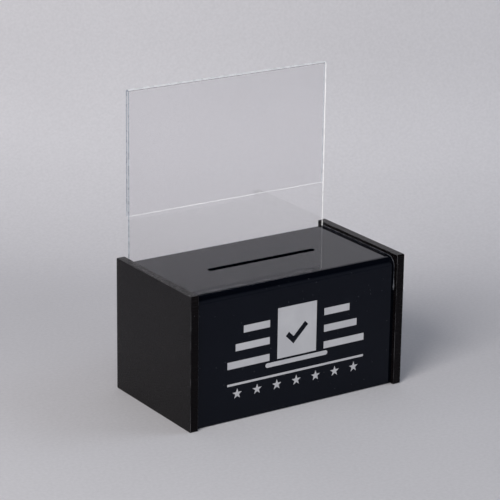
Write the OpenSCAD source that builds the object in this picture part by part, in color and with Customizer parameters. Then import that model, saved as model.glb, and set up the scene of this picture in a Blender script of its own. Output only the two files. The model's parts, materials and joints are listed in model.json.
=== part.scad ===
// Countertop ballot box: two thick end panels, a heat-bent shell with the ballot slot,
// a clear folded sign header in a channel behind the top, and a locking rear door.
// The front faces -Y and the origin is on the table, under the middle of the box.

/* [End panels] */
// Overall width across both end panels
overall_w = 273; // [220:1:400]
// Depth of an end panel, front to back
panel_d = 151; // [135:1:240]
// Height of an end panel
panel_h = 150; // [135:1:240]
// Thickness of an end panel
panel_t = 9.5; // [9:0.5:16]
// Corner radius of an end panel, seen from the side
panel_corner_r = 1.5; // [1:0.5:4]
// Width of the eased edge round both faces of an end panel
panel_ease = 0.5; // [0.2:0.1:1]

/* [Bent shell] */
// Thickness of the bent sheet
shell_t = 3; // [2:0.5:5]
// How far the top lies below the top edges of the end panels
top_drop = 4; // [2:0.5:10]
// How far the front wall lies behind the front edges of the end panels
front_inset = 5; // [2:0.5:10]
// How far the front wall and floor stay clear of the table
underside_gap = 1; // [0.5:0.5:3]
// Outside radius of the bend between top and front wall
bend_r = 9.5; // [7:0.5:16]

/* [Ballot slot] */
// Length of the slot, over its round ends
slot_l = 138; // [60:1:180]
// Width of the slot
slot_w = 8; // [5:0.5:14]
// Distance from the front wall's face to the middle of the slot
slot_back = 69.5; // [50:0.5:90]

/* [Sign header] */
// Thickness of the clear sheet
header_t = 2.4; // [1.5:0.1:4]
// Clear gap between the two leaves
pocket_gap = 1.6; // [1:0.1:3]
// Height of the fold above the top of the box
header_rise = 190; // [160:1:300]
// Depth of the pocket, from the fold to the lower edge of the short leaf
pocket_h = 140; // [80:1:155]
// How far the long leaf reaches below the top of the box
header_tongue = 36; // [20:1:50]
// Clearance between the header and each end panel
header_side_gap = 0.3; // [0.2:0.1:1]
// Clearance between the long leaf and each side of its channel
channel_gap = 0.2; // [0.1:0.05:0.5]
// Clearance under the standing header
seat_gap = 0.1; // [0.05:0.05:0.3]

/* [Rear wall and floor] */
// How far the rear wall and door lie in front of the rear edges of the end panels
rear_inset = 5; // [4.5:0.5:8]
// Thickness of the rear rail
rail_t = 3; // [2:0.5:5]
// Thickness of the strip on the front side of the channel
strip_t = 3; // [2:0.5:6]
// Height of the rest that closes the channel's underside
rest_h = 3; // [2:0.5:8]
// Thickness of the floor
floor_t = 3; // [2:0.5:5]

/* [Rear door] */
// Thickness of the door
door_t = 3; // [2.5:0.5:5]
// Running gap round the door
door_gap = 0.5; // [0.3:0.1:1]
// Gap between the closed door and its stop
stop_gap = 0.3; // [0.2:0.1:0.6]
// Width of the door stop, across the box
stop_w = 6; // [4:0.5:10]

/* [Hinges] */
// Length of a hinge
hinge_l = 25; // [20:1:40]
// Distance from the door's upper or lower edge to the middle of a hinge
hinge_inset = 20.5; // [16:0.5:32]
// Thickness of a leaf
leaf_t = 1; // [0.8:0.1:1.6]
// Reach of a leaf from the pin's axis
leaf_reach = 14; // [13:0.5:20]
// Outside diameter of a knuckle
knuckle_d = 4.2; // [3.6:0.1:5]
// Diameter of the pin
pin_d = 2; // [1.5:0.1:2.2]
// Gap between knuckles, and round them
knuckle_gap = 0.4; // [0.3:0.1:0.6]
// Radial running clearance in a turning bore
bore_play = 0.05; // [0.02:0.01:0.1]
// Distance from the pin's axis to the screw holes
hole_reach = 10; // [9.5:0.5:12]
// Distance between the two screw holes of a leaf
hole_pitch = 16; // [10:1:20]

/* [Small screws] */
// Diameter of a hinge screw
screw_d = 2.5; // [2:0.1:3]
// Diameter of a hinge screw's head
screw_head_d = 4.8; // [4:0.1:6]
// Height of a hinge screw's head
screw_head_h = 1.6; // [1.2:0.1:2]
// Length of a tapping screw under its head
tapping_l = 8; // [5:0.5:9]
// Clearance of a screw in its hole, on the radius
screw_play = 0.05; // [0.05:0.05:0.3]
// Width across the flats of a hinge nut
small_nut_af = 5; // [4.5:0.5:6]
// Height of a hinge nut
small_nut_h = 2; // [1.5:0.5:3]

/* [Cam lock] */
// Distance from the left end panel's inner face to the lock's axis
lock_inset = 22; // [20:1:30]
// Diameter of the threaded barrel
barrel_d = 16; // [14.5:0.5:17]
// Width of the barrel across its flats
barrel_flats = 13.6; // [13:0.2:14.4]
// Length of the barrel under the bezel
barrel_l = 16; // [15:0.5:24]
// Clearance of the barrel in the door
barrel_play = 0.15; // [0.1:0.05:0.5]
// Diameter of the bezel
bezel_d = 19.5; // [18.5:0.5:24]
// Thickness of the bezel
bezel_h = 2.6; // [2.2:0.1:3.4]
// Diameter of the turning plug
plug_d = 11; // [10:0.5:12]
// Diameter of the plug's visible face
plug_face_d = 13; // [12.5:0.5:15]
// Thickness of the plug's face flange
plug_face_h = 1.2; // [0.8:0.1:1.6]
// Width of the keyway
keyway_w = 1.8; // [1.4:0.1:2.4]
// Height of the keyway
keyway_h = 7; // [5:0.5:8]
// Depth of the keyway
keyway_depth = 11; // [10:0.5:11.5]
// Thickness of the spurred washer
washer_t = 0.8; // [0.5:0.1:1.2]
// Outside diameter of the spurred washer
washer_d = 21; // [19:0.5:24]
// Width across the flats of the lock nut
nut_af = 20; // [19:0.5:24]
// Thickness of the lock nut
nut_h = 3.5; // [2.5:0.5:5]
// Thickness of the cam
cam_t = 1.6; // [1.2:0.1:2.4]
// Gap between the locked cam's tip and the end panel
cam_end_gap = 2; // [1:0.5:3]
// Width of the cam's arm
cam_w = 12; // [10:0.5:13]
// Width of the square tang that drives the cam
tang_w = 6.6; // [6:0.2:7]
// Diameter of the cam's screw
cam_screw_d = 4; // [3:0.5:4.5]
// Diameter of the cam screw's head
cam_head_d = 9; // [8.5:0.5:11]
// Height of the cam screw's head
cam_head_h = 2; // [1.5:0.5:3]
// Length of the cam screw under its head
cam_screw_l = 6.5; // [5:0.5:7]
// Clearance between the locked cam and the door stop
latch_gap = 0.5; // [0.3:0.1:1]
// Number of wafers in the plug
tumbler_count = 5; // [3:1:5]
// Thickness of a wafer
tumbler_t = 0.8; // [0.6:0.1:0.9]
// Distance from one wafer to the next
tumbler_pitch = 1.5; // [1.3:0.1:1.6]
// Clearance round a wafer
tumbler_play = 0.05; // [0.05:0.05:0.1]

/* [Front graphic] */
// Thickness of the film
film_t = 0.12; // [0.08:0.02:0.3]
// Width of the whole graphic
graphic_w = 176; // [120:1:190]
// Height of the whole graphic
graphic_h = 92; // [80:1:100]
// Height of the graphic's middle above the table
graphic_z = 70; // [62:1:74]
// Width of the graphic's lines
stroke = 5; // [3:0.5:7]
// Width of the ballot paper in the graphic
paper_w = 50; // [40:1:60]
// Number of stripes on each side
stripe_count = 3; // [2:1:4]
// Number of stars in the row
star_count = 7; // [3:1:9]
// Tip radius of a star
star_r = 6; // [4:0.5:8]

/* [Hidden] */
$fn = 48;
// a cut runs this far past the face it opens
past = 1;

// colours
acrylic = "#17181d";
panel_black = "#232225";
clear_sheet = [0.86, 0.89, 0.92, 0.35];
steel = "#a9adb2";
brass = "#b8995a";
film_white = "#d9dade";

// width between the end panels
inner_x = overall_w / 2 - panel_t;
inner_w = 2 * inner_x;

// planes from front to rear
front_y = -panel_d / 2 + front_inset;
rear_y = panel_d / 2 - rear_inset;
rail_in_y = rear_y - rail_t;
leaf_back_y = rail_in_y - channel_gap;
leaf_front_y = leaf_back_y - header_t;
channel_y = leaf_front_y - channel_gap;
strip_front_y = channel_y - strip_t;
door_in_y = rear_y - door_t;

// levels from the table up
top_z = panel_h - top_drop;
top_under_z = top_z - shell_t;
tongue_z = top_z - header_tongue;
rest_top_z = tongue_z - seat_gap;
rail_z = rest_top_z - rest_h;
floor_top_z = underside_gap + floor_t;
door_low_z = floor_top_z + door_gap;
door_high_z = rail_z - door_gap;
door_mid_z = (door_low_z + door_high_z) / 2;

// the header's fold
fold_in_r = pocket_gap / 2;
fold_out_r = fold_in_r + header_t;
fold_y = leaf_back_y + fold_in_r;
fold_z = top_z + header_rise - fold_out_r;
pocket_z = top_z + header_rise - pocket_h;
header_w = inner_w - 2 * header_side_gap;

// the hinge's axis, beside the right end panel and behind the door
knuckle_r = knuckle_d / 2;
axis_x = inner_x - knuckle_gap - knuckle_r;
axis_y = rear_y + knuckle_gap + knuckle_r;
hinge_low_z = door_low_z + hinge_inset;
hinge_high_z = door_high_z - hinge_inset;
door_right_x = inner_x - leaf_t - knuckle_gap;
door_left_x = -inner_x + door_gap;
// the door's knuckle is the middle third of a hinge
knuckle_l = hinge_l / 3;
middle_span = [[-knuckle_l / 2, knuckle_l / 2]];
outer_spans = [[-hinge_l / 2, -knuckle_l / 2 - knuckle_gap], [knuckle_l / 2 + knuckle_gap, hinge_l / 2]];
pin_head_h = 0.6;
pin_head_d = pin_d * 1.5;
hole_offsets = [-hole_pitch / 2, hole_pitch / 2];

// the lock's axis and its stack, measured from the door's outer face
lock_x = -inner_x + lock_inset;
cam_reach = lock_inset - cam_end_gap;
cam_gap = 0.2;
cam_outer_y = rear_y - barrel_l - cam_gap;
stop_in_y = cam_outer_y + latch_gap;
stop_out_y = door_in_y - stop_gap;
plug_face_top = bezel_h - 0.3;
tang_l = cam_gap + cam_t - 0.1;
// the first wafer stands this far behind the door's outer face
tumbler_start = 1.4;
tumbler_w = plug_d * 0.5;
tumbler_l = plug_d * 0.82;

// the lock's own frame: +Z out of the door, +Y down
module at_lock() {
    translate([lock_x, rear_y, door_mid_z]) rotate([-90, 0, 0]) children();
}

// puts a side outline (Y, Z) along X, centred
module along_x(length) {
    rotate([90, 0, 90]) linear_extrude(length, center = true) children();
}

// a block between two corners
module block(low, high) {
    translate(low) cube(high - low);
}

// a bar's outline with both long sides eased, centred
module eased_outline(w, h) {
    half_w = w / 2;
    half_h = h / 2;
    e = panel_ease;
    polygon([[-half_w, -half_h + e], [-half_w + e, -half_h], [half_w - e, -half_h], [half_w, -half_h + e],
        [half_w, half_h - e], [half_w - e, half_h], [-half_w + e, half_h], [-half_w, half_h - e]]);
}

// a round corner of an end panel, its axis along X
module eased_corner() {
    flat_h = panel_t - 2 * panel_ease;
    rotate([0, 90, 0]) {
        cylinder(r = panel_corner_r, h = flat_h, center = true);
        for (up = [0, 1]) mirror([0, 0, up]) translate([0, 0, flat_h / 2])
            cylinder(r1 = panel_corner_r, r2 = panel_corner_r - panel_ease, h = panel_ease);
    }
}

// an end panel with eased edges, its inner face at x = 0 and its body towards +X
module end_panel_blank() {
    inner_d = panel_d - 2 * panel_corner_r;
    inner_h = panel_h - 2 * panel_corner_r;
    translate([panel_t / 2, 0, panel_h / 2]) {
        rotate([90, 0, 0]) linear_extrude(inner_d, center = true) eased_outline(panel_t, panel_h);
        linear_extrude(inner_h, center = true) eased_outline(panel_t, panel_d);
        for (y = [-inner_d / 2, inner_d / 2], z = [-inner_h / 2, inner_h / 2])
            translate([0, y, z]) eased_corner();
    }
}

module left_end_panel() {
    color(panel_black) translate([-inner_x, 0, 0]) mirror([1, 0, 0]) end_panel_blank();
}

module right_end_panel() {
    color(panel_black) difference() {
        translate([inner_x, 0, 0]) end_panel_blank();
        for (z = [hinge_low_z, hinge_high_z], dz = hole_offsets)
            translate([inner_x, axis_y - hole_reach, z + dz]) rotate([0, 90, 0])
                translate([0, 0, -past]) cylinder(d = screw_d + 2 * screw_play, h = tapping_l + past);
    }
}

module shell_outline() {
    bend_y = front_y + bend_r;
    bend_z = top_z - bend_r;
    translate([bend_y, top_under_z]) square([channel_y - bend_y, shell_t]);
    translate([front_y, underside_gap]) square([shell_t, bend_z - underside_gap]);
    translate([bend_y, bend_z]) intersection() {
        difference() {
            circle(bend_r, $fn = 96);
            circle(bend_r - shell_t, $fn = 96);
        }
        translate([-2 * bend_r, 0]) square(2 * bend_r);
    }
}

module slot_outline() {
    run = slot_l - slot_w;
    square([run, slot_w], center = true);
    for (x = [-run / 2, run / 2]) translate([x, 0]) circle(d = slot_w);
}

module bent_shell() {
    color(acrylic) difference() {
        along_x(inner_w) shell_outline();
        translate([0, front_y + slot_back, top_under_z - past])
            linear_extrude(shell_t + 2 * past) slot_outline();
    }
}

module floor_panel() {
    color(acrylic) block([-inner_x, front_y + shell_t, underside_gap], [inner_x, rear_y, floor_top_z]);
}

module rear_rail() {
    color(acrylic) block([-inner_x, rail_in_y, rail_z], [inner_x, rear_y, top_under_z]);
}

module channel_strip() {
    color(acrylic) block([-inner_x, strip_front_y, rail_z], [inner_x, channel_y, top_under_z]);
}

module channel_rest() {
    color(acrylic) block([-inner_x, channel_y, rail_z], [inner_x, rail_in_y, rest_top_z]);
}

module header_outline() {
    translate([leaf_front_y, tongue_z]) square([header_t, fold_z - tongue_z]);
    translate([fold_y + fold_in_r, pocket_z]) square([header_t, fold_z - pocket_z]);
    translate([fold_y, fold_z]) intersection() {
        difference() {
            circle(fold_out_r);
            circle(fold_in_r);
        }
        translate([-fold_out_r, 0]) square(2 * fold_out_r);
    }
}

module sign_header() {
    color(clear_sheet) along_x(header_w) header_outline();
}

module barrel_outline(play) {
    intersection() {
        circle(d = barrel_d + 2 * play);
        square([barrel_flats + 2 * play, 2 * barrel_d], center = true);
    }
}

module rear_door() {
    color(acrylic) difference() {
        block([door_left_x, door_in_y, door_low_z], [door_right_x, rear_y, door_high_z]);
        at_lock() translate([0, 0, -door_t - past])
            linear_extrude(door_t + 2 * past) barrel_outline(barrel_play);
        for (z = [hinge_low_z, hinge_high_z], dz = hole_offsets)
            translate([axis_x - hole_reach, door_in_y - past, z + dz]) rotate([-90, 0, 0])
                cylinder(d = screw_d + 2 * screw_play, h = door_t + 2 * past);
    }
}

module door_stop() {
    color(acrylic) block([-inner_x, stop_in_y, floor_top_z], [-inner_x + stop_w, stop_out_y, rail_z]);
}

// a leaf along +X from the pin's axis, lying knuckle_gap off the knuckle's far side;
// its knuckles fill the spans, which are measured from the hinge's middle
module hinge_leaf(spans) {
    plate_y = -knuckle_r - knuckle_gap;
    plate_x = knuckle_r + knuckle_gap;
    difference() {
        union() {
            translate([plate_x, plate_y, -hinge_l / 2]) cube([leaf_reach - plate_x, leaf_t, hinge_l]);
            for (span = spans) {
                translate([0, 0, span[0]]) cylinder(r = knuckle_r, h = span[1] - span[0]);
                translate([0, plate_y, span[0]]) cube([leaf_reach, leaf_t, span[1] - span[0]]);
            }
        }
        translate([0, 0, -hinge_l]) cylinder(d = pin_d + 2 * bore_play, h = 2 * hinge_l);
        for (dz = hole_offsets)
            translate([hole_reach, plate_y - past, dz]) rotate([-90, 0, 0])
                cylinder(d = screw_d + 2 * screw_play, h = leaf_t + 2 * past);
    }
}

module frame_leaf(z) {
    color(steel) translate([axis_x, axis_y, z]) rotate(-90) mirror([0, 1, 0]) hinge_leaf(outer_spans);
}

module door_leaf(z) {
    color(steel) translate([axis_x, axis_y, z]) mirror([1, 0, 0]) hinge_leaf(middle_span);
}

module upper_frame_leaf() frame_leaf(hinge_high_z);
module lower_frame_leaf() frame_leaf(hinge_low_z);
module upper_door_leaf() door_leaf(hinge_high_z);
module lower_door_leaf() door_leaf(hinge_low_z);

module hinge_pin(z) {
    color(steel) translate([axis_x, axis_y, z]) {
        cylinder(d = pin_d, h = hinge_l, center = true);
        for (s = [-1, 1]) translate([0, 0, s * (hinge_l + pin_head_h) / 2])
            cylinder(d = pin_head_d, h = pin_head_h, center = true);
    }
}

module upper_hinge_pin() hinge_pin(hinge_high_z);
module lower_hinge_pin() hinge_pin(hinge_low_z);

// a screw with its head on z = 0 and its shank towards -Z
module pan_screw(d, l, head_d, head_h) {
    bar_w = head_d * 0.16;
    bar_l = head_d * 0.56;
    translate([0, 0, -l]) cylinder(d = d, h = l);
    difference() {
        union() {
            cylinder(d = head_d, h = head_h * 0.45);
            translate([0, 0, head_h * 0.45]) cylinder(d1 = head_d, d2 = head_d * 0.7, h = head_h * 0.55);
        }
        for (turn = [0, 90]) rotate(turn)
            translate([-bar_l / 2, -bar_w / 2, head_h * 0.4]) cube([bar_l, bar_w, head_h]);
    }
}

module frame_leaf_screws() {
    color(steel) for (z = [hinge_low_z, hinge_high_z], dz = hole_offsets)
        translate([inner_x - leaf_t, axis_y - hole_reach, z + dz]) rotate([0, -90, 0])
            pan_screw(screw_d, tapping_l, screw_head_d, screw_head_h);
}

module door_leaf_screws() {
    color(steel) for (z = [hinge_low_z, hinge_high_z], dz = hole_offsets)
        translate([axis_x - hole_reach, rear_y + leaf_t, z + dz]) rotate([-90, 0, 0])
            pan_screw(screw_d, leaf_t + door_t + small_nut_h + 0.6, screw_head_d, screw_head_h);
}

// a hexagon nut standing on z = 0, with a clear bore
module hex_nut(af, h, bore) {
    across = af / cos(30);
    chamfer = af * 0.06;
    difference() {
        intersection() {
            cylinder(d = across, h = h, $fn = 6);
            union() {
                cylinder(d = across + past, h = h - chamfer);
                translate([0, 0, h - chamfer]) cylinder(d1 = across, d2 = af * 0.96, h = chamfer);
            }
        }
        translate([0, 0, -past]) cylinder(d = bore, h = h + 2 * past);
    }
}

module door_leaf_nuts() {
    color(steel) for (z = [hinge_low_z, hinge_high_z], dz = hole_offsets)
        translate([axis_x - hole_reach, door_in_y, z + dz]) rotate([90, 0, 0])
            hex_nut(small_nut_af, small_nut_h, screw_d + 2 * screw_play);
}

module lock_housing() {
    color(steel) at_lock() difference() {
        union() {
            translate([0, 0, -barrel_l]) linear_extrude(barrel_l) barrel_outline(0);
            cylinder(d = bezel_d, h = bezel_h * 0.5);
            translate([0, 0, bezel_h * 0.5]) cylinder(d1 = bezel_d, d2 = bezel_d * 0.84, h = bezel_h * 0.5);
        }
        translate([0, 0, -barrel_l - past]) cylinder(r = plug_d / 2 + bore_play, h = barrel_l + bezel_h + 2 * past);
        translate([0, 0, plug_face_top - plug_face_h - 0.1])
            cylinder(r = plug_face_d / 2 + bore_play, h = bezel_h + past);
    }
}

module lock_washer() {
    spurs = 12;
    color(steel) at_lock() translate([0, 0, -door_t - washer_t]) linear_extrude(washer_t) difference() {
        circle(d = washer_d);
        barrel_outline(barrel_play);
        for (i = [0 : spurs - 1]) rotate((i + 0.5) * 360 / spurs)
            translate([washer_d / 2, 0]) circle(d = washer_d * 0.12, $fn = 24);
    }
}

module lock_nut() {
    color(steel) at_lock() translate([0, 0, -door_t - washer_t]) mirror([0, 0, 1])
        hex_nut(nut_af, nut_h, barrel_d + 2 * screw_play);
}

// place of one wafer along the plug
function tumbler_z(i) = -tumbler_start - i * tumbler_pitch;

module lock_plug() {
    color(steel) at_lock() difference() {
        union() {
            translate([0, 0, -barrel_l]) cylinder(d = plug_d, h = barrel_l + plug_face_top);
            translate([0, 0, plug_face_top - plug_face_h]) cylinder(d = plug_face_d, h = plug_face_h);
            translate([-tang_w / 2, -tang_w / 2, -barrel_l - tang_l]) cube([tang_w, tang_w, tang_l + past]);
        }
        translate([-keyway_w / 2, -keyway_h / 2, plug_face_top - keyway_depth])
            cube([keyway_w, keyway_h, keyway_depth + past]);
        for (i = [0 : tumbler_count - 1])
            translate([-tumbler_w / 2 - tumbler_play, -plug_d, tumbler_z(i) - tumbler_t - tumbler_play])
                cube([tumbler_w + 2 * tumbler_play, 2 * plug_d, tumbler_t + 2 * tumbler_play]);
        translate([0, 0, -barrel_l - tang_l - past])
            cylinder(d = cam_screw_d + 2 * screw_play, h = cam_screw_l + past);
    }
}

module lock_tumblers() {
    window_w = keyway_w + 1.2;
    color(brass) at_lock() for (i = [0 : tumbler_count - 1])
        translate([0, 0, tumbler_z(i) - tumbler_t]) linear_extrude(tumbler_t) difference() {
            square([tumbler_w, tumbler_l], center = true);
            square([window_w, keyway_h - 0.5], center = true);
        }
}

module lock_cam() {
    hub_d = tang_w * 1.42 + 6;
    play = 0.05;
    color(steel) at_lock() translate([0, 0, -barrel_l - cam_gap - cam_t]) linear_extrude(cam_t) difference() {
        union() {
            circle(d = hub_d);
            translate([-cam_w / 2, 0]) square([cam_w, cam_reach - cam_w / 2]);
            translate([0, cam_reach - cam_w / 2]) circle(d = cam_w);
        }
        square(tang_w + 2 * play, center = true);
    }
}

module cam_screw() {
    color(steel) at_lock() translate([0, 0, -barrel_l - cam_gap - cam_t]) mirror([0, 0, 1])
        pan_screw(cam_screw_d, cam_screw_l - 1, cam_head_d, cam_head_h);
}

// the graphic's pieces, drawn about its middle as seen from the front
module star(r) {
    waist = r * 0.4;
    polygon([for (i = [0 : 9]) let (a = 90 + 36 * i, q = i % 2 == 0 ? r : waist) [q * cos(a), q * sin(a)]]);
}

// a tick with its foot at the origin
module tick(w) {
    rotate(45) {
        square([w * 4.4, w]);
        square([w, w * 2.4]);
    }
}

// the ballot paper, cut through by its tick
module paper_outline(w, h) {
    difference() {
        translate([-w / 2, 0]) square([w, h]);
        translate([-stroke * 0.9, h * 0.24]) tick(stroke * 1.2);
    }
}

module graphic_outline() {
    top = graphic_h / 2;
    star_y = -top + star_r;
    line_y = star_y + star_r + stroke;
    slot_y = line_y + stroke * 2.6;
    paper_y = slot_y + stroke;
    paper_h = top - paper_y;
    // the row of stars under its line
    translate([-graphic_w / 2, line_y - stroke / 4]) square([graphic_w, stroke / 2]);
    for (i = [0 : star_count - 1])
        translate([(i - (star_count - 1) / 2) * graphic_w / star_count, star_y]) star(star_r);
    // the paper over its slot, which has round ends
    half_slot = paper_w * 0.75;
    translate([-half_slot, slot_y - stroke / 2]) square([2 * half_slot, stroke]);
    for (s = [-1, 1]) translate([s * half_slot, slot_y]) circle(d = stroke);
    translate([0, paper_y]) paper_outline(paper_w, paper_h);
    // stripes on both sides, longer towards the table
    pitch = paper_h / stripe_count;
    for (s = [-1, 1], i = [0 : stripe_count - 1]) {
        near = paper_w / 2 + stroke * 2;
        far = graphic_w / 2 - stroke * 2 * i;
        translate([s > 0 ? near : -far, paper_y + i * pitch]) square([far - near, pitch * 0.42]);
    }
}

module front_graphic() {
    color(film_white) translate([0, front_y, graphic_z]) rotate([90, 0, 0])
        linear_extrude(film_t) graphic_outline();
}

left_end_panel();
right_end_panel();
bent_shell();
floor_panel();
rear_rail();
channel_strip();
channel_rest();
sign_header();
rear_door();
door_stop();
upper_frame_leaf();
lower_frame_leaf();
upper_door_leaf();
lower_door_leaf();
upper_hinge_pin();
lower_hinge_pin();
frame_leaf_screws();
door_leaf_screws();
door_leaf_nuts();
lock_housing();
lock_washer();
lock_nut();
lock_plug();
lock_tumblers();
lock_cam();
cam_screw();
front_graphic();
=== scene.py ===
# Countertop ballot box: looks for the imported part. Units are metres, the front faces -Y.
import json
import math
import random

import bpy
from mathutils import Matrix, Vector


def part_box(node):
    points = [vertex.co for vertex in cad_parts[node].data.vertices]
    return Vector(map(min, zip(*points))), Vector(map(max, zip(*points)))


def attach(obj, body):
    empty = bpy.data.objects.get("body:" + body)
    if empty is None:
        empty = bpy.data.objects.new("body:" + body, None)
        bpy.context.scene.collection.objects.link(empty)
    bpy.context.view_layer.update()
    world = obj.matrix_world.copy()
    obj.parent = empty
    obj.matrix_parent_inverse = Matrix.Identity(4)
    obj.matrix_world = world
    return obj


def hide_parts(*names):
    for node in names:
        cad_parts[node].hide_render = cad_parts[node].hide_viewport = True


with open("model.json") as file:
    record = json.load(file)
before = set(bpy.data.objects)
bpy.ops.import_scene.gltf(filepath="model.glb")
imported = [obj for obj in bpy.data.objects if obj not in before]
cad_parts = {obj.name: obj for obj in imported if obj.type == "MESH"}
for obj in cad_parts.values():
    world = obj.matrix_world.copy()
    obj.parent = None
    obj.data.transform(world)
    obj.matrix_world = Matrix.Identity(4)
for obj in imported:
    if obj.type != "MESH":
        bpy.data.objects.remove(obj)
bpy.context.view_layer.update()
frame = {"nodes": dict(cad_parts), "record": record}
nodes = frame["nodes"]
print("frame loaded:", len(nodes), "nodes")

samePlace = 2e-5  # places closer than this count as one
samePoint = 1e-6  # points closer than this are merged
sheetAngle = 40  # degrees: a sharper edge stays sharp in the shading
cementAngle = 60


def deselectAll():
    bpy.ops.object.select_all(action="DESELECT")


def makeActive(piece):
    deselectAll()
    piece.select_set(True)
    bpy.context.view_layer.objects.active = piece


def applyPlace(piece):
    makeActive(piece)
    bpy.ops.object.transform_apply(location=True, rotation=True, scale=True)


def addBlock(name, low, high):
    low, high = Vector(low), Vector(high)
    deselectAll()
    bpy.ops.mesh.primitive_cube_add(size=1, location=(low + high) / 2)
    piece = bpy.context.object
    piece.name = name
    piece.scale = high - low
    applyPlace(piece)
    return piece


def addPlane(name, middle, size, tilt=0):
    deselectAll()
    bpy.ops.mesh.primitive_plane_add(size=1, location=middle)
    piece = bpy.context.object
    piece.name = name
    piece.rotation_euler = (tilt, 0, 0)
    piece.scale = (*size, 1)
    applyPlace(piece)
    return piece


def near(a, b):
    return abs(a - b) < samePlace


def pickEdges(piece, test):
    # leaves the piece in edit mode, with the edges that pass the test selected
    makeActive(piece)
    bpy.ops.object.mode_set(mode="EDIT")
    bpy.ops.mesh.select_mode(type="EDGE")
    bpy.ops.mesh.select_all(action="DESELECT")
    bpy.ops.object.mode_set(mode="OBJECT")
    mesh = piece.data
    for edge in mesh.edges:
        ends = [mesh.vertices[i] for i in edge.vertices]
        if test(ends[0].co, ends[1].co):
            edge.select = True
            for end in ends:
                end.select = True
    bpy.ops.object.mode_set(mode="EDIT")


def bevelPicked(width, segments):
    bpy.ops.mesh.bevel(offset=width, segments=segments, profile=0.5, affect="EDGES")
    bpy.ops.object.mode_set(mode="OBJECT")


def bendSheet(piece, edgeTest, steps, angle, centre, rise):
    # spins the picked edge round a line along X, then runs it on straight up or down
    pickEdges(piece, edgeTest)
    bpy.ops.mesh.spin(steps=steps, angle=angle, center=centre, axis=(1, 0, 0))
    bpy.ops.mesh.extrude_region_move(TRANSFORM_OT_translate={"value": (0, 0, rise)})


def turnOutwards(piece, pick):
    # the face that pick chooses by its height has to look up
    bpy.ops.mesh.select_all(action="SELECT")
    bpy.ops.mesh.remove_doubles(threshold=samePoint)
    bpy.ops.mesh.normals_make_consistent(inside=False)
    bpy.ops.object.mode_set(mode="OBJECT")
    if pick(piece.data.polygons, key=lambda face: face.center.z).normal.z <= 0:
        bpy.ops.object.mode_set(mode="EDIT")
        bpy.ops.mesh.select_all(action="SELECT")
        bpy.ops.mesh.flip_normals()
        bpy.ops.object.mode_set(mode="OBJECT")


def addModifier(piece, kind, **settings):
    makeActive(piece)
    modifier = piece.modifiers.new(kind.lower(), kind)
    for key, value in settings.items():
        setattr(modifier, key, value)
    bpy.ops.object.modifier_apply(modifier=modifier.name)


def smoothPiece(piece, angle=sheetAngle):
    makeActive(piece)
    bpy.ops.object.shade_smooth_by_angle(angle=math.radians(angle))
    addModifier(piece, "WEIGHTED_NORMAL", keep_sharp=True, weight=100)


# in the finishes a noise is given as scale and detail, a bump as strength and distance in metres,
# and a span as its two ends
noiseSpan = (0.3, 0.7)  # most of a noise's values lie between these
fullSpan = (0, 1)
speckCore = 0.6  # share of a speck that is as pale as its middle
acrylicIor = 1.49


def newMaterial(name, **values):
    material = bpy.data.materials.new(name)
    material.use_nodes = True
    shader = material.node_tree.nodes["Principled BSDF"]
    for key, value in values.items():
        shader.inputs[key].default_value = value
    return material, material.node_tree.nodes, material.node_tree.links, shader


def addNoise(nodesOf, linksOf, scale, detail, stretch=(1, 1, 1), rough=0.5):
    coords = nodesOf.new("ShaderNodeTexCoord")
    mapping = nodesOf.new("ShaderNodeMapping")
    mapping.inputs["Scale"].default_value = stretch
    noise = nodesOf.new("ShaderNodeTexNoise")
    noise.inputs["Scale"].default_value = scale
    noise.inputs["Detail"].default_value = detail
    noise.inputs["Roughness"].default_value = rough
    linksOf.new(coords.outputs["Object"], mapping.inputs["Vector"])
    linksOf.new(mapping.outputs["Vector"], noise.inputs["Vector"])
    return noise.outputs["Fac"]


def spread(nodesOf, linksOf, source, fromSpan, toSpan):
    ranger = nodesOf.new("ShaderNodeMapRange")
    for key, value in zip(("From Min", "From Max", "To Min", "To Max"), (*fromSpan, *toSpan)):
        ranger.inputs[key].default_value = value
    linksOf.new(source, ranger.inputs["Value"])
    return ranger.outputs["Result"]


def mixColours(nodesOf, linksOf, factor, low, high):
    mixer = nodesOf.new("ShaderNodeMix")
    mixer.data_type = "RGBA"
    mixer.inputs["A"].default_value = (*low, 1)
    mixer.inputs["B"].default_value = (*high, 1)
    linksOf.new(factor, mixer.inputs["Factor"])
    return mixer.outputs["Result"]


def addBump(nodesOf, linksOf, shader, source, strength, distance):
    bump = nodesOf.new("ShaderNodeBump")
    bump.inputs["Strength"].default_value = strength
    bump.inputs["Distance"].default_value = distance
    linksOf.new(source, bump.inputs["Height"])
    linksOf.new(bump.outputs["Normal"], shader.inputs["Normal"])


def dustMask(nodesOf, linksOf, scale, size):
    # sparse specks: only the middles of the cells pass
    coords = nodesOf.new("ShaderNodeTexCoord")
    cells = nodesOf.new("ShaderNodeTexVoronoi")
    cells.inputs["Scale"].default_value = scale
    linksOf.new(coords.outputs["Object"], cells.inputs["Vector"])
    return spread(nodesOf, linksOf, cells.outputs["Distance"], (size * speckCore, size), (1, 0))


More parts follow.
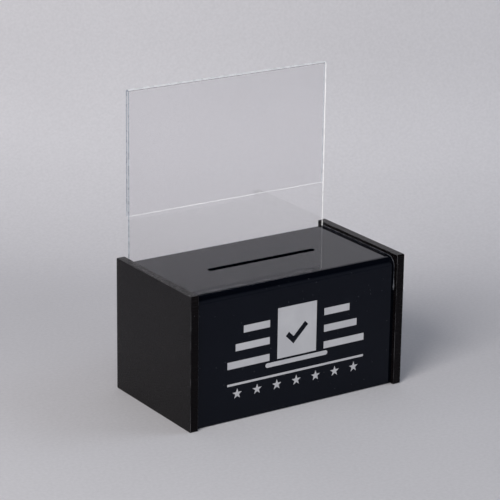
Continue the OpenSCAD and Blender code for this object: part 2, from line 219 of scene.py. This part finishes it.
# black acrylic: cloudy colour from low to high, pale specks of dust, rubbing marks and a fine grain
blackDetail = {"clouds": (22, 4), "speckScale": 160, "speckColour": (0.16, 0.16, 0.17),
               "rubs": (60, 6), "rubStretch": (1, 14, 14), "rubRoughness": 0.65, "rubSpan": (0.35, 0.75),
               "grain": (650, 3)}
blackSheets = {
    # the blue in the shell's colours and in its mirror tint is painted: it stands in for the bluish
    # floor the sheet mirrors
    "shellBlack": {"low": (0.0008, 0.0013, 0.0030), "high": (0.0015, 0.0022, 0.0044),
                   "rough": (0.03, 0.09), "bump": (0.015, 0.0002), "speckSize": 0.055,
                   "mirror": 0.5, "mirrorTint": (0.24, 0.275, 0.38)},
    "panelBlack": {"low": (0.0022, 0.0016, 0.0020), "high": (0.0046, 0.0035, 0.0040),
                   "rough": (0.2, 0.36), "bump": (0.8, 0.0002), "speckSize": 0.05,
                   "mirror": 0.22, "mirrorTint": (0.25, 0.24, 0.26)},
}


def blackSheet(name):
    look, detail = blackSheets[name], blackDetail
    material, n, l, shader = newMaterial(name, **{
        "IOR": acrylicIor, "Specular IOR Level": look["mirror"],
        "Specular Tint": (*look["mirrorTint"], 1)})
    clouds = spread(n, l, addNoise(n, l, *detail["clouds"]), noiseSpan, fullSpan)
    specks = dustMask(n, l, detail["speckScale"], look["speckSize"])
    dusty = mixColours(n, l, specks, look["low"], detail["speckColour"])
    # the clouds take the place of the plain low colour
    l.new(mixColours(n, l, clouds, look["low"], look["high"]), dusty.node.inputs["A"])
    l.new(dusty, shader.inputs["Base Color"])
    rubs = addNoise(n, l, *detail["rubs"], stretch=detail["rubStretch"], rough=detail["rubRoughness"])
    l.new(spread(n, l, rubs, detail["rubSpan"], look["rough"]), shader.inputs["Roughness"])
    addBump(n, l, shader, addNoise(n, l, *detail["grain"]), *look["bump"])
    return material


# patchy finishes: one noise mixes the colours and sets the roughness
patchyFinishes = {
    # cut and bent edges of the clear sheet, in painted light: the pale finish paints the glow of the lit
    # edges, the grey-blue one a dimmer painted reflection on the others
    "paintedLitEdge": {"patches": (120, 4), "contrast": (0.3, 0.7), "rough": (0.18, 0.4),
                 "low": (0.84, 0.85, 0.88), "high": (0.93, 0.94, 0.96),
                 "values": {"IOR": acrylicIor, "Transmission Weight": 0.12}},
    "paintedDimEdge": {"patches": (120, 4), "contrast": (0.3, 0.7), "rough": (0.18, 0.4),
                 "low": (0.34, 0.38, 0.44), "high": (0.44, 0.48, 0.54),
                 "values": {"IOR": acrylicIor, "Transmission Weight": 0.12}},
    # eased edges of the black panels, pale grey in patches: a painted highlight for the light these
    # edges catch
    "paintedEdgeHighlight": {"patches": (75, 5), "contrast": (0.42, 0.68), "rough": (0.2, 0.4),
                    "low": (0.012, 0.012, 0.014), "high": (0.13, 0.13, 0.14),
                    "values": {"IOR": acrylicIor}},
    # a pale strip along the cement bead: painted highlight for the light line the bead's curved top
    # catches
    "paintedBeadHighlight": {"patches": (180, 4), "contrast": (0.35, 0.65), "rough": (0.08, 0.25),
                    "low": (0.02, 0.021, 0.025), "high": (0.17, 0.175, 0.195),
                    "bump": (0.2, 0.0004), "values": {"IOR": 1.47}},
}


def patchyFinish(name):
    look = patchyFinishes[name]
    material, n, l, shader = newMaterial(name, **look["values"])
    patches = addNoise(n, l, *look["patches"])
    share = spread(n, l, patches, look["contrast"], fullSpan)
    l.new(mixColours(n, l, share, look["low"], look["high"]), shader.inputs["Base Color"])
    l.new(spread(n, l, patches, noiseSpan, look["rough"]), shader.inputs["Roughness"])
    if "bump" in look:
        addBump(n, l, shader, patches, *look["bump"])
    return material


clearLook = {"colour": (0.985, 0.98, 0.985), "haze": (35, 5), "hazeStretch": (1, 1, 5),
             "hazeSpan": (0.45, 0.8), "rough": (0.0, 0.02), "waves": (6, 1), "bump": (0.02, 0.001)}


def clearSheet():
    look = clearLook
    material, n, l, shader = newMaterial("clearAcrylic", **{
        "Base Color": (*look["colour"], 1), "IOR": acrylicIor, "Transmission Weight": 1.0})
    haze = addNoise(n, l, *look["haze"], stretch=look["hazeStretch"])
    l.new(spread(n, l, haze, look["hazeSpan"], look["rough"]), shader.inputs["Roughness"])
    addBump(n, l, shader, addNoise(n, l, *look["waves"]), *look["bump"])
    return material


filmLook = {"ior": 1.45, "low": (0.56, 0.56, 0.585), "high": (0.63, 0.63, 0.65), "patches": (40, 4),
            "sheen": (700, 3), "rough": (0.38, 0.52), "grain": (1500, 2), "bump": (0.08, 0.0001)}


def whiteFilm():
    look = filmLook
    material, n, l, shader = newMaterial("whiteFilm", **{"IOR": look["ior"]})
    patches = spread(n, l, addNoise(n, l, *look["patches"]), noiseSpan, fullSpan)
    l.new(mixColours(n, l, patches, look["low"], look["high"]), shader.inputs["Base Color"])
    sheen = addNoise(n, l, *look["sheen"])
    l.new(spread(n, l, sheen, noiseSpan, look["rough"]), shader.inputs["Roughness"])
    addBump(n, l, shader, addNoise(n, l, *look["grain"]), *look["bump"])
    return material


# metals: patches of colour under a fine grain, which is stretched along the brushing
metalDetail = {"grain": (900, 4), "patches": (140, 3), "bump": (0.12, 0.0001)}
metals = {
    "hingeSteel": {"low": (0.42, 0.42, 0.43), "high": (0.56, 0.56, 0.56),
                   "rough": (0.25, 0.42), "stretch": (1, 1, 12)},
    "lockChrome": {"low": (0.55, 0.55, 0.56), "high": (0.66, 0.66, 0.67),
                   "rough": (0.1, 0.2), "stretch": (3, 3, 3)},
    "lockBrass": {"low": (0.5, 0.36, 0.13), "high": (0.62, 0.46, 0.2),
                  "rough": (0.25, 0.4), "stretch": (1, 1, 8)},
}


def metalFinish(name):
    look, detail = metals[name], metalDetail
    material, n, l, shader = newMaterial(name, **{"Metallic": 1.0})
    grain = addNoise(n, l, *detail["grain"], stretch=look["stretch"])
    patches = spread(n, l, addNoise(n, l, *detail["patches"]), noiseSpan, fullSpan)
    l.new(mixColours(n, l, patches, look["low"], look["high"]), shader.inputs["Base Color"])
    l.new(spread(n, l, grain, noiseSpan, look["rough"]), shader.inputs["Roughness"])
    addBump(n, l, shader, grain, *detail["bump"])
    return material


shellBlack, panelBlack = blackSheet("shellBlack"), blackSheet("panelBlack")
paintedLitEdge, paintedDimEdge = patchyFinish("paintedLitEdge"), patchyFinish("paintedDimEdge")
paintedEdgeHighlight, paintedBeadHighlight = patchyFinish("paintedEdgeHighlight"), patchyFinish("paintedBeadHighlight")
clearAcrylic = clearSheet()

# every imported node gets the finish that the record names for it
finishOf = {"panel_black": panelBlack, "shell_black": shellBlack, "clear_acrylic": clearAcrylic,
            "film_white": whiteFilm(), "hinge_steel": metalFinish("hingeSteel"),
            "lock_chrome": metalFinish("lockChrome"), "lock_brass": metalFinish("lockBrass")}
for part in frame["record"]["subparts"]:
    for slot in nodes[part["node"]].material_slots:
        slot.material = finishOf[part["material_slot"]]
print("materials done")


def finishPiece(piece, finish, slotName, body, *replaced):
    piece.data.materials.clear()
    piece.data.materials.append(finish)
    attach(piece, body)
    if replaced:
        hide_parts(*replaced)


def finishFaces(piece, finish, test):
    # a second finish on the faces that pass the test
    piece.data.materials.append(finish)
    spot = len(piece.data.materials) - 1
    for face in piece.data.polygons:
        if test(face.normal, face.center):
            face.material_index = spot


# the painted edge highlight goes on the faces of the eased edges: these are the shares of their normals
# that look sideways
endPanel = {"cornerRadius": 0.0015, "cornerSteps": 5, "edgeRadius": 0.0005, "edgeSteps": 3,
            "paintedHighlightNormals": (0.3, 0.9)}


def addEndPanel(node):
    low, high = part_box(node)
    panel = addBlock(node + "_sheet", low, high)
    pickEdges(panel, lambda a, b: near(a.y, b.y) and near(a.z, b.z))
    bevelPicked(endPanel["cornerRadius"], endPanel["cornerSteps"])
    pickEdges(panel, lambda a, b: near(a.x, b.x) and (near(a.x, low.x) or near(a.x, high.x)))
    bevelPicked(endPanel["edgeRadius"], endPanel["edgeSteps"])
    smoothPiece(panel)
    finishPiece(panel, panelBlack, "panel_black", "box", node)
    # the eased edges' faces get the painted highlight
    least, most = endPanel["paintedHighlightNormals"]
    finishFaces(panel, paintedEdgeHighlight, lambda normal, middle: least < abs(normal.x) < most)


for endNode in ("left_end_panel", "right_end_panel"):
    addEndPanel(endNode)
print("end panels done")


# top and front are one sheet, bent along the front top edge
shell = {"thickness": 0.003, "bendRadius": 0.0095, "bendSteps": 16, "slotLength": 0.138,
         "slotWidth": 0.008, "slotMiddleY": -0.001, "slotEndSteps": 12, "slotEndShare": 0.998,
         "slotEdge": 0.0003, "slotEdgeSteps": 2, "rimSlack": 1e-4, "cutBelow": 0.006, "cutAbove": 0.004}


def addShell():
    low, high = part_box("bent_shell")
    bendY, bendZ = low.y + shell["bendRadius"], high.z - shell["bendRadius"]
    piece = addPlane("bent_sheet", ((low.x + high.x) / 2, (bendY + high.y) / 2, high.z),
                     (high.x - low.x, high.y - bendY))
    bendSheet(piece, lambda a, b: near(a.y, bendY) and near(b.y, bendY),
              shell["bendSteps"], -math.pi / 2, (0, bendY, bendZ), low.z - bendZ)
    turnOutwards(piece, max)
    addModifier(piece, "SOLIDIFY", thickness=shell["thickness"], offset=-1, use_even_offset=True)
    # the ballot slot, with round ends and a lightly broken rim
    halfL, halfW, slotY = shell["slotLength"] / 2, shell["slotWidth"] / 2, shell["slotMiddleY"]
    cutter = addBlock("slotCutter", (-halfL, slotY - halfW, high.z - shell["cutBelow"]),
                      (halfL, slotY + halfW, high.z + shell["cutAbove"]))
    pickEdges(cutter, lambda a, b: near(a.x, b.x) and near(a.y, b.y))
    # a little under half the width, so that the two corners of an end don't meet
    bevelPicked(halfW * shell["slotEndShare"], shell["slotEndSteps"])
    addModifier(piece, "BOOLEAN", operation="DIFFERENCE", solver="EXACT", object=cutter)
    bpy.data.objects.remove(cutter)
    reachX, reachY = halfL + shell["rimSlack"], halfW + shell["rimSlack"]

    def onSlotRim(*ends):
        return all(near(end.z, high.z) and abs(end.x) < reachX and abs(end.y - slotY) < reachY
                   for end in ends)

    pickEdges(piece, onSlotRim)
    bevelPicked(shell["slotEdge"], shell["slotEdgeSteps"])
    smoothPiece(piece)
    finishPiece(piece, shellBlack, "shell_black", "box", "bent_shell")


addShell()
print("bent sheet done")


# the clear sheet is folded over at its top: a long front leaf and a shorter rear one
header = {"thickness": 0.0024, "pocketGap": 0.0016, "foldSteps": 16, "pocketZ": 0.196,
          "edgeRadius": 0.0004, "edgeSteps": 3, "edgeAngle": 60,
          "crownDepth": 0.55,  # of the thickness
          "crownUp": 0.75, "edgeOut": 0.5}  # least share of a face's normal that looks that way


def addHeader():
    low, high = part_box("sign_header")
    half = header["thickness"] / 2
    midRadius = header["pocketGap"] / 2 + half
    leafY = low.y + half
    foldY, foldZ = leafY + midRadius, high.z - midRadius - half
    piece = addPlane("folded_header", (0, leafY, (low.z + foldZ) / 2),
                     (high.x - low.x, foldZ - low.z), tilt=math.pi / 2)
    bendSheet(piece, lambda a, b: near(a.z, foldZ) and near(b.z, foldZ),
              header["foldSteps"], math.pi, (0, foldY, foldZ), header["pocketZ"] - foldZ)
    turnOutwards(piece, max)
    addModifier(piece, "SOLIDIFY", thickness=header["thickness"], offset=0, use_even_offset=True)
    addModifier(piece, "BEVEL", width=header["edgeRadius"], segments=header["edgeSteps"],
                limit_method="ANGLE", angle_limit=math.radians(header["edgeAngle"]))
    smoothPiece(piece)
    piece.visible_shadow = False  # a clear sheet's shadow is too faint to show
    finishPiece(piece, clearAcrylic, "clear_acrylic", "header", "sign_header")
    crownZ = high.z - header["thickness"] * header["crownDepth"]
    edgeOut = header["edgeOut"]

    def isPaintedLit(normal, middle):
        onCrown = middle.z > crownZ and normal.z > header["crownUp"]
        onLowerEdge = middle.z < foldZ and normal.z < -edgeOut
        onRightEdge = middle.y < foldY and normal.x > edgeOut  # of the front leaf
        return onCrown or onLowerEdge or onRightEdge

    # painted light: the side edges get the grey-blue painted reflection, then the crown, the lower edges
    # and the front leaf's right edge the pale painted glow
    finishFaces(piece, paintedDimEdge, lambda normal, middle: abs(normal.x) > edgeOut)
    finishFaces(piece, paintedLitEdge, isPaintedLit)


addHeader()
print("folded header done")


# cement squeezed out beside the bent sheet: a dark bead, with a thin pale strip along it that paints the
# highlight the bead catches
bead = {"radius": 0.0011, "inset": 0.0005, "lift": 0, "seed": 11,
        "lastSizes": (0.5, 1.4, 1.7, 1.3)}  # the drop that it ends in, from its end
highlightStrip = {"radius": 0.00032, "inset": 0.0008, "lift": 0.0009, "seed": 31,
         "lastSizes": (1.2, 3.2, 3.4, 1.6)}
cementRun = {"rearY": 0.0635, "endZ": 0.109, "topStep": 0.004, "frontStep": 0.003, "bendSteps": 8,
             "roundness": 3, "wander": 0.0003, "sizes": (0.7, 1.2), "frontBelowZ": 0.14,
             "frontSize": 0.6, "firstSize": 0.3}


def cementPath(low, high, lift):
    radius = shell["bendRadius"]
    bendY, bendZ = low.y + radius, high.z - radius
    path = []
    y = cementRun["rearY"]
    while y > bendY:
        path.append((y, high.z + lift))
        y -= cementRun["topStep"]
    for step in range(cementRun["bendSteps"] + 1):
        turn = math.pi / 2 * step / cementRun["bendSteps"]
        path.append((bendY - (radius + lift) * math.sin(turn), bendZ + (radius + lift) * math.cos(turn)))
    z = bendZ - cementRun["frontStep"]
    while z > cementRun["endZ"]:
        path.append((low.y - lift, z))
        z -= cementRun["frontStep"]
    return path


def addRun(name, run, side, finish):
    low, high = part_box("bent_shell")
    path = cementPath(low, high, run["lift"])
    wander = random.Random(run["seed"] + side)
    curve = bpy.data.curves.new(name, "CURVE")
    curve.dimensions = "3D"
    curve.bevel_depth = run["radius"]
    curve.bevel_resolution = cementRun["roundness"]
    curve.use_fill_caps = True
    line = curve.splines.new("POLY")
    line.points.add(len(path) - 1)
    for point, (y, z) in zip(line.points, path):
        x = side * (high.x - run["inset"] - wander.uniform(0, cementRun["wander"]))
        point.co = (x, y, z, 1)
        # thinner down the front than on the top
        share = 1 if z > cementRun["frontBelowZ"] else cementRun["frontSize"]
        point.radius = wander.uniform(*cementRun["sizes"]) * share
    line.points[0].radius = cementRun["firstSize"]
    for back, size in enumerate(run["lastSizes"]):
        line.points[-1 - back].radius = size
    piece = bpy.data.objects.new(name, curve)
    bpy.context.scene.collection.objects.link(piece)
    makeActive(piece)
    bpy.ops.object.convert(target="MESH")
    piece = bpy.context.object
    addModifier(piece, "SUBSURF", levels=1, render_levels=1)
    smoothPiece(piece, cementAngle)
    finishPiece(piece, finish, "shell_black", "box")


for side, sideName in ((1, "right"), (-1, "left")):
    addRun("cement_bead_" + sideName, bead, side, shellBlack)
    # the pale strip is a painted highlight along the bead
    addRun("cement_painted_highlight_" + sideName, highlightStrip, side, paintedBeadHighlight)
print("cement done")


# one sheet of pale paper: the floor, which curves up into the backdrop
# painted light and shade: shares of the paper's colour at places along the floor and up the wall, darker
# in the bend's shade and lighter on the lit wall
stage = {"turn": -33.66, "behind": 0.34, "before": 4.5, "halfWidth": 4.5, "sweepRadius": 0.45,
         "sweepSteps": 24, "wallTop": 0.95, "paper": (0.62, 0.608, 0.632),
         "paintedLightTones": ((-0.1, 0.98), (0.11, 0.86), (0.34, 0.89), (0.65, 1.13), (0.8, 1.13),
                   (0.97, 1.03), (1.2, 1.24)),
         "acrossSpan": (-0.5, 0.5), "paintedSideLight": (1.05, 0.95), "roughness": 0.85, "specular": 0.2,
         "mottle": (3, 5), "mottleTones": (0.98, 1.02), "fibres": (260, 3), "fibreTones": (0.965, 1.035)}


def multiplyColours(nodesOf, linksOf, colour, factor):
    mixer = nodesOf.new("ShaderNodeMix")
    mixer.data_type = "RGBA"
    mixer.blend_type = "MULTIPLY"
    mixer.inputs["Factor"].default_value = 1
    linksOf.new(colour, mixer.inputs["A"])
    linksOf.new(factor, mixer.inputs["B"])
    return mixer.outputs["Result"]


def placeAlong(nodesOf, linksOf, direction):
    # how far a point lies along a direction
    coords = nodesOf.new("ShaderNodeTexCoord")
    dot = nodesOf.new("ShaderNodeVectorMath")
    dot.operation = "DOT_PRODUCT"
    dot.inputs[1].default_value = direction
    linksOf.new(coords.outputs["Object"], dot.inputs[0])
    return dot.outputs["Value"]


def paintedLightRamp(nodesOf, linksOf, place):
    first, last = stage["paintedLightTones"][0][0], stage["paintedLightTones"][-1][0]
    ramp = nodesOf.new("ShaderNodeValToRGB")
    ramp.color_ramp.interpolation = "B_SPLINE"
    stops = ramp.color_ramp.elements
    for index, (where, tone) in enumerate(stage["paintedLightTones"]):
        spot = (where - first) / (last - first)
        stop = stops[index] if index < 2 else stops.new(spot)  # a new ramp has two stops
        stop.position = spot
        stop.color = (*(tone * channel for channel in stage["paper"]), 1)
    linksOf.new(spread(nodesOf, linksOf, place, (first, last), fullSpan), ramp.inputs["Fac"])
    return ramp.outputs["Color"]


def sweepPaper():
    material, n, l, shader = newMaterial("sweepPaper", **{
        "Roughness": stage["roughness"], "Specular IOR Level": stage["specular"]})
    turn = math.radians(stage["turn"])
    # painted light and shade along the sweep and, across it, paper painted lighter at the left than at
    # the right; the mottle and fibres are the paper's own
    colour = paintedLightRamp(n, l, placeAlong(n, l, (-math.sin(turn), math.cos(turn), 1)))
    across = placeAlong(n, l, (math.cos(turn), math.sin(turn), 0))
    mottle, fibres = addNoise(n, l, *stage["mottle"]), addNoise(n, l, *stage["fibres"])
    for source, fromSpan, toSpan in ((across, stage["acrossSpan"], stage["paintedSideLight"]),
                                     (mottle, noiseSpan, stage["mottleTones"]),
                                     (fibres, noiseSpan, stage["fibreTones"])):
        colour = multiplyColours(n, l, colour, spread(n, l, source, fromSpan, toSpan))
    l.new(colour, shader.inputs["Base Color"])
    # seen from behind, the paper lets the view through
    clear = n.new("ShaderNodeBsdfTransparent")
    facing = n.new("ShaderNodeNewGeometry")
    either = n.new("ShaderNodeMixShader")
    l.new(facing.outputs["Backfacing"], either.inputs["Fac"])
    l.new(shader.outputs["BSDF"], either.inputs[1])
    l.new(clear.outputs["BSDF"], either.inputs[2])
    l.new(either.outputs["Shader"], n["Material Output"].inputs["Surface"])
    return material


def addStage():
    behind, radius = stage["behind"], stage["sweepRadius"]
    depth = behind + stage["before"]
    piece = addPlane("paperSweep", (0, behind - depth / 2, 0), (2 * stage["halfWidth"], depth))
    bendSheet(piece, lambda a, b: near(a.y, behind) and near(b.y, behind),
              stage["sweepSteps"], -math.pi / 2, (0, behind, radius), stage["wallTop"] - radius)
    turnOutwards(piece, min)
    makeActive(piece)
    bpy.ops.object.shade_smooth()
    piece.data.materials.append(sweepPaper())
    piece.rotation_euler = (0, 0, math.radians(stage["turn"]))  # to face the camera
    applyPlace(piece)


addStage()
print("stage done")


lights = {
    "keyLight": {"place": (-2.0, -1.1, 1.75), "size": 1.3, "watts": 58,
                 "colour": (1.0, 0.97, 0.935), "mirrored": True},
    "fillLight": {"place": (2.0, -1.0, 1.9), "size": 1.4, "watts": 16,
                  "colour": (0.82, 0.9, 1.0), "mirrored": False},
}
lightsAim = Vector((0, 0, 0.1))


def addLight(name, light):
    deselectAll()
    bpy.ops.object.light_add(type="AREA", location=light["place"])
    lamp = bpy.context.object
    lamp.name = name
    lamp.data.shape = "SQUARE"
    lamp.data.size = light["size"]
    lamp.data.energy = light["watts"]
    lamp.data.color = light["colour"]
    lamp.visible_glossy = light["mirrored"]
    aim = lightsAim - Vector(light["place"])
    lamp.rotation_euler = aim.to_track_quat("-Z", "Y").to_euler()


for lightName, light in lights.items():
    addLight(lightName, light)

# what lights the object, what it mirrors (pale walls low down, a dark ceiling) and what the camera sees
room = {"ambient": (0.82, 0.89, 1.0), "ambientStrength": 0.24, "walls": (0.46, 0.46, 0.48),
        "ceiling": (0.02, 0.02, 0.022), "ceilingFrom": (0.35, 0.62), "seen": (0.5, 0.5, 0.52)}


def addRoom():
    world = bpy.data.worlds.new("studio")
    bpy.context.scene.world = world
    world.use_nodes = True
    n, l = world.node_tree.nodes, world.node_tree.links
    ambient = n["Background"]
    ambient.inputs["Color"].default_value = (*room["ambient"], 1)
    ambient.inputs["Strength"].default_value = room["ambientStrength"]
    coords = n.new("ShaderNodeTexCoord")
    direction = n.new("ShaderNodeSeparateXYZ")
    l.new(coords.outputs["Generated"], direction.inputs["Vector"])
    height = spread(n, l, direction.outputs["Z"], room["ceilingFrom"], fullSpan)
    mirrored = n.new("ShaderNodeBackground")
    l.new(mixColours(n, l, height, room["walls"], room["ceiling"]), mirrored.inputs["Color"])
    seen = n.new("ShaderNodeBackground")
    seen.inputs["Color"].default_value = (*room["seen"], 1)
    rays = n.new("ShaderNodeLightPath")
    result = ambient.outputs["Background"]
    for kind, background in (("Is Glossy Ray", mirrored), ("Is Camera Ray", seen)):
        blend = n.new("ShaderNodeMixShader")
        l.new(rays.outputs[kind], blend.inputs["Fac"])
        l.new(result, blend.inputs[1])
        l.new(background.outputs["Background"], blend.inputs[2])
        result = blend.outputs["Shader"]
    l.new(result, n["World Output"].inputs["Surface"])


addRoom()
print("lights done")


cameraView = {"place": (-1.3058, -1.9387, 0.9278), "target": (-0.0147, 0.0, 0.1591),
              "roll": 0.79, "lens": 164.4, "sensor": 36}


def addCamera():
    deselectAll()
    bpy.ops.object.camera_add(location=cameraView["place"])
    camera = bpy.context.object
    camera.name = "photoCamera"
    camera.data.sensor_width = cameraView["sensor"]
    camera.data.lens = cameraView["lens"]
    forward = (Vector(cameraView["target"]) - Vector(cameraView["place"])).normalized()
    level = forward.cross(Vector((0, 0, 1))).normalized()
    upright = level.cross(forward)
    roll = math.radians(cameraView["roll"])
    right = level * math.cos(roll) + upright * math.sin(roll)
    up = upright * math.cos(roll) - level * math.sin(roll)
    camera.rotation_euler = Matrix((right, up, -forward)).transposed().to_euler()
    bpy.context.scene.camera = camera


addCamera()
bpy.context.scene.view_settings.view_transform = "Standard"
print("camera done")
